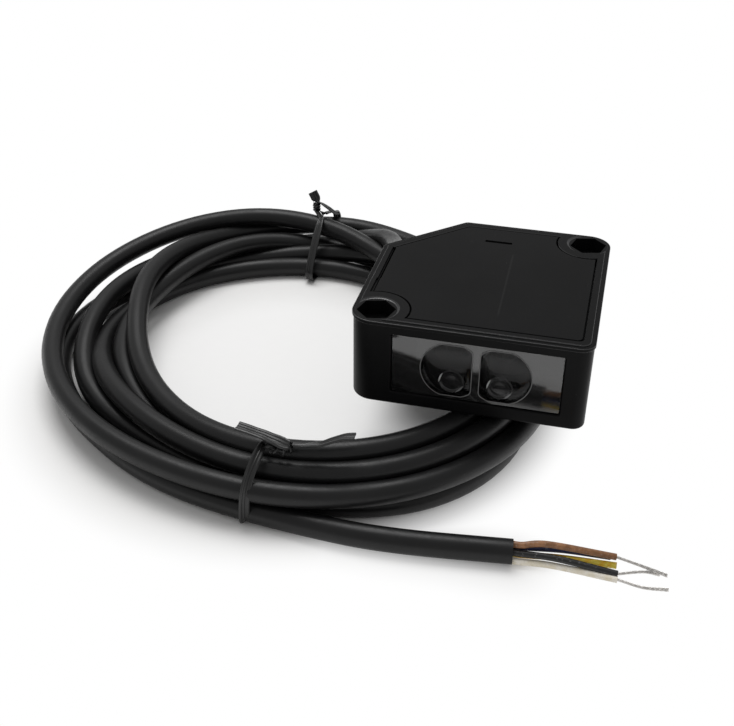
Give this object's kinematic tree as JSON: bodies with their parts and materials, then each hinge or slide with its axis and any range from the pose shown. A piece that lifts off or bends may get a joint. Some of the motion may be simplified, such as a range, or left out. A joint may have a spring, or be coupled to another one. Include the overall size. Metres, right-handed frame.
{
  "type": "retroreflective photoelectric sensor",
  "caption": "Compact square photoelectric sensor with a front window over paired lenses, a cut corner, and its round cable coiled and tied beneath it.",
  "frame": {"origin": "centre of the housing's box", "axes": "+Z out of the cover, -Y out of the optical window, +X out of the end face with the controls; the housing lies on its coiled cable as in use on a bench"},
  "size_m": [0.1537, 0.1236, 0.034],
  "materials": {
    "housing_plastic": "fine satin moulding, near black",
    "cover_plastic": "fine satin moulding, near black",
    "gasket_rubber": "matt black",
    "window_clear": "clear, slightly smoked plastic, polished",
    "lens_clear": "clear plastic, polished",
    "filter_sheet": "grey filter sheet",
    "holder_black": "matt black",
    "led_red_clear": "dark red, glossy",
    "diode_dark": "dark, glossy",
    "board_green": "green solder mask",
    "chip_black": "matt black",
    "tinned_steel": "tinned",
    "core_steel": "laminated core with wound bobbin",
    "capacitor_blue": "blue sleeve",
    "relay_orange": "orange case",
    "adjuster_blue": "blue case",
    "control_pale": "off-white",
    "lamp_green": "translucent green",
    "lamp_red": "translucent red",
    "gland_plastic": "satin black",
    "cable_jacket": "smooth vinyl, soft sheen, near black",
    "wire_brown_skin": "brown vinyl",
    "wire_blue_skin": "dark blue vinyl",
    "wire_black_skin": "black vinyl",
    "wire_white_skin": "white vinyl",
    "wire_yellow_skin": "yellow vinyl",
    "tinned_copper": "fine tinned strands",
    "tie_ribbon": "black ribbed ribbon with a wire core"
  },
  "bodies": {
    "sensor": {"housing": "housing_plastic", "cover": "cover_plastic", "cover_gasket": "gasket_rubber", "front_window": "window_clear", "emitter_lens": "lens_clear", "receiver_lens": "lens_clear", "emitter_polariser": "filter_sheet", "receiver_polariser": "filter_sheet", "lens_holder": "holder_black", "emitter_led": "led_red_clear", "receiver_photodiode": "diode_dark", "optics_board": "board_green", "amplifier_chip": "chip_black", "receiver_shield": "tinned_steel", "main_board": "board_green", "board_link": "chip_black", "controller_chip": "chip_black", "transformer": "core_steel", "rectifier": "chip_black", "capacitor": "capacitor_blue", "relay": "relay_orange", "adjuster_body": "adjuster_blue", "selector_body": "chip_black", "indicator_green": "lamp_green", "indicator_red": "lamp_red", "cable_gland": "gland_plastic", "gland_seal": "gasket_rubber", "cable_ferrule": "tinned_steel", "inner_leads": "wire_brown_skin", "cord_entry": "cable_jacket", "cord_lead": "cable_jacket", "cord_coil": "cable_jacket", "cord_tail": "cable_jacket", "wire_brown": "wire_brown_skin", "wire_blue": "wire_blue_skin", "wire_black": "wire_black_skin", "wire_white": "wire_white_skin", "wire_yellow": "wire_yellow_skin", "wire_strands": "tinned_copper", "tie_front": "tie_ribbon", "tie_back": "tie_ribbon"},
    "adjuster": {"adjuster_rotor": "control_pale"},
    "selector": {"selector_slider": "control_pale"}
  },
  "joints": [
    {"name": "adjuster_turn", "type": "hinge", "parent": "sensor", "child": "adjuster", "pos_m": [0.0205, 0.00828, 0], "axis": [1, 0, 0], "range_deg": [-120, 120]},
    {"name": "selector_slide", "type": "slide", "parent": "sensor", "child": "selector", "axis": [0, 1, 0], "range_m": [0, 0.002]}
  ]
}
